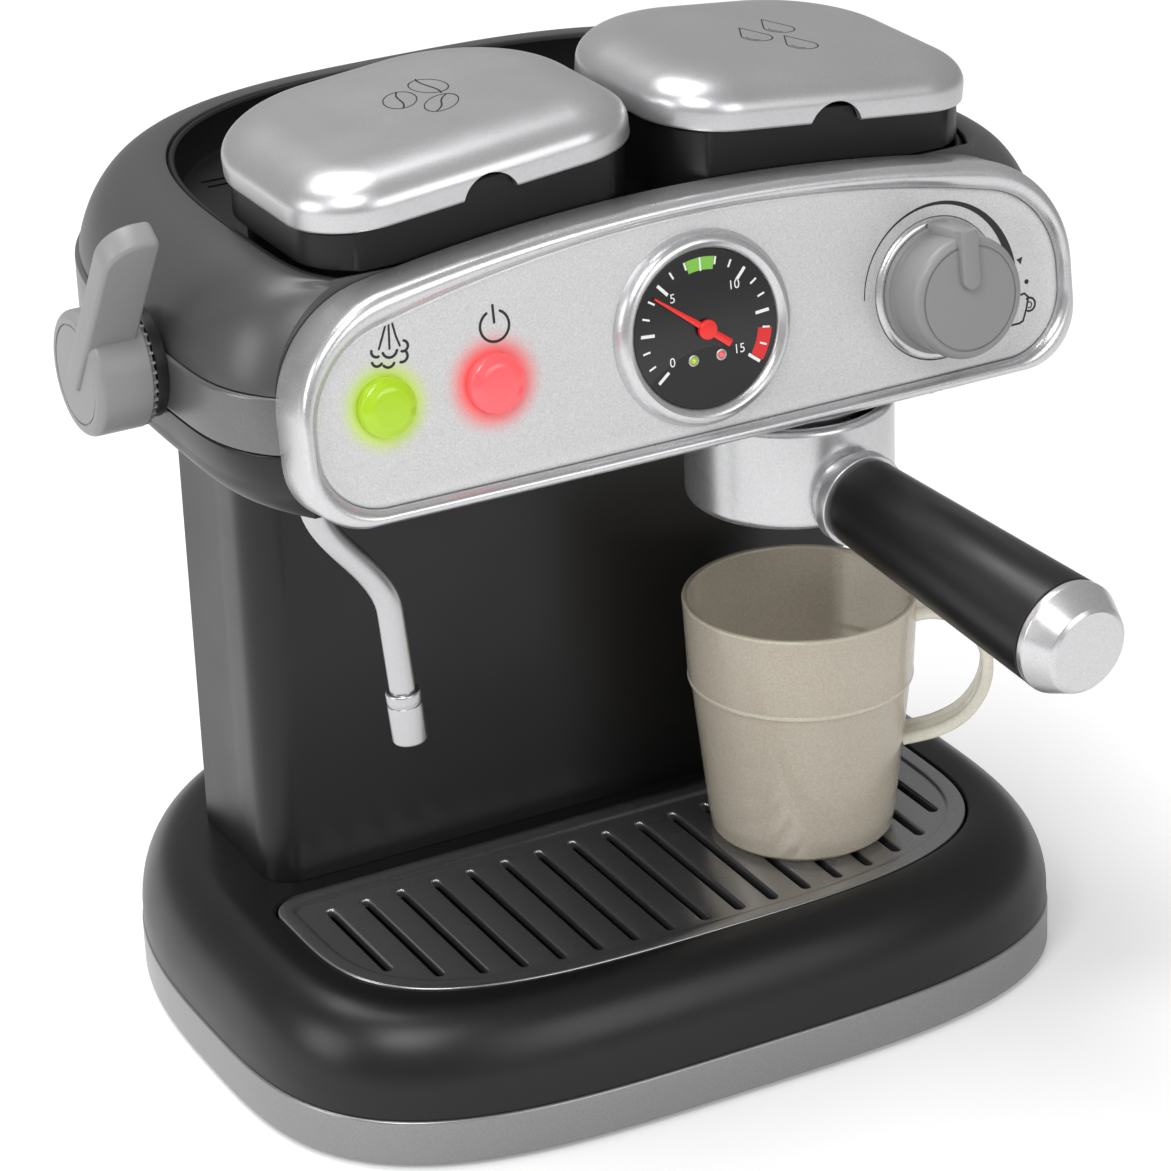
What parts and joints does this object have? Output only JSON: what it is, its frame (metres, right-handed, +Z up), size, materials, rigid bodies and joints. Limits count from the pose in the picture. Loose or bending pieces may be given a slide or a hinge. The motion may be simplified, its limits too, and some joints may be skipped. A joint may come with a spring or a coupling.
{
  "type": "toy coffee maker",
  "caption": "Toy coffee maker with a domed base and drip grid, a column, a head with a sloped dial panel, lidded tubs, a portafilter, a steam wand and a drinking cup.",
  "frame": {"origin": "middle of the foot pad under the centre of the base, on the floor", "axes": "+Z up, -Y to the front where the panel and handle are, +X to the right seen from the front"},
  "size_m": [0.2383, 0.2606, 0.2432],
  "materials": {
    "black_plastic": "satin moulded",
    "head_grey": "satin moulded",
    "belt_grey": "satin metallic paint",
    "silver_paint": "fine metallic paint",
    "lid_silver": "satin metallic paint",
    "grid_metal": "satin metallic paint",
    "knob_grey": "satin moulded",
    "dial_black": "printed",
    "needle_red": "gloss",
    "button_green": "translucent",
    "button_red": "translucent",
    "cup_plastic": "frosted",
    "steel": "plated",
    "pad_rubber": "matt",
    "inner_plastic": "moulded",
    "board_green": "solder mask",
    "cell_wrap": "sleeve",
    "hose_clear": "smooth",
    "wire_red": "smooth"
  },
  "bodies": {
    "housing": {"base_plate": "black_plastic", "rubber_feet": "pad_rubber", "base_skirt": "silver_paint", "base_shell": "black_plastic", "base_screws": "steel", "battery_box": "black_plastic", "batteries": "cell_wrap", "battery_contacts": "steel", "battery_door": "black_plastic", "battery_door_screw": "steel", "speaker": "black_plastic", "drip_tray": "black_plastic", "column_front": "black_plastic", "column_back": "black_plastic", "column_screws": "steel", "head_lower_shell": "black_plastic", "belt_band": "belt_grey", "head_upper_shell": "head_grey", "head_screws": "steel", "top_tray": "black_plastic", "panel_bezel": "silver_paint", "bezel_clips": "black_plastic", "panel_fascia": "silver_paint", "panel_carrier": "black_plastic", "gauge_ring": "silver_paint", "gauge_dial": "dial_black", "circuit_board": "board_green", "board_parts": "black_plastic", "steam_button_spring": "steel", "power_button_spring": "steel", "knob_flange": "silver_paint", "valve_body": "inner_plastic", "tank_hose": "hose_clear", "spout_hose": "hose_clear", "wire_harness": "wire_red", "steam_boss": "black_plastic", "wand_collar": "black_plastic", "group_ring": "silver_paint", "water_tank": "black_plastic", "bean_tub": "black_plastic"},
    "needle": {"gauge_needle": "needle_red"},
    "green_button": {"steam_button": "button_green"},
    "red_button": {"power_button": "button_red"},
    "knob": {"main_knob": "knob_grey", "valve_plug": "inner_plastic"},
    "steam_lever": {"steam_knob": "knob_grey"},
    "wand": {"steam_wand": "steel", "wand_nozzle": "steel"},
    "portafilter": {"portafilter_body": "silver_paint", "filter_basket": "steel", "handle_neck": "silver_paint", "handle_grip": "black_plastic", "handle_cap": "silver_paint"},
    "right_lid": {"water_lid": "lid_silver"},
    "left_lid": {"bean_lid": "lid_silver"},
    "grid": {"drip_grid": "grid_metal"},
    "drinking_cup": {"cup": "cup_plastic"}
  },
  "joints": [
    {"name": "needle_turn", "type": "hinge", "parent": "housing", "child": "needle", "pos_m": [0, -0.06603, 0.19208], "axis": [0, -0.9907, 0.1357], "range_deg": [-180.9, 75.1]},
    {"name": "green_push", "type": "slide", "parent": "housing", "child": "green_button", "axis": [0, 0.9907, -0.1357], "range_m": [0, 0.0016], "stiffness_N_per_m": 120, "springref_m": -0.002, "deforming": ["steam_button_spring"]},
    {"name": "red_push", "type": "slide", "parent": "housing", "child": "red_button", "axis": [0, 0.9907, -0.1357], "range_m": [0, 0.0016], "stiffness_N_per_m": 120, "springref_m": -0.002, "deforming": ["power_button_spring"]},
    {"name": "knob_turn", "type": "hinge", "parent": "housing", "child": "knob", "pos_m": [0.0629, -0.0665, 0.18861], "axis": [0, -0.9907, 0.1357], "range_deg": [-112, 85]},
    {"name": "steam_turn", "type": "hinge", "parent": "housing", "child": "steam_lever", "pos_m": [-0.116, -0.0025, 0.18725], "axis": [1, 0, 0], "range_deg": [-75, 30]},
    {"name": "wand_swing", "type": "hinge", "parent": "housing", "child": "wand", "pos_m": [-0.088, -0.04, 0.163], "axis": [0, 0, 1], "range_deg": [-30, 30]},
    {"name": "portafilter_turn", "type": "hinge", "parent": "housing", "child": "portafilter", "pos_m": [0.0388, -0.037, 0.145], "axis": [0, 0, 1], "range_deg": [-45, 0]},
    {"name": "right_lid_lift", "type": "slide", "parent": "housing", "child": "right_lid", "axis": [0.0993, 0, 0.9951], "range_m": [0, 0.03]},
    {"name": "left_lid_lift", "type": "slide", "parent": "housing", "child": "left_lid", "axis": [-0.0993, 0, 0.9951], "range_m": [0, 0.03]},
    {"name": "grid_lift", "type": "slide", "parent": "housing", "child": "grid", "axis": [0, 0, 1], "range_m": [0, 0.01]},
    {"name": "cup_lift", "type": "slide", "parent": "grid", "child": "drinking_cup", "axis": [0, 0, 1], "range_m": [0, 0.01]}
  ]
}
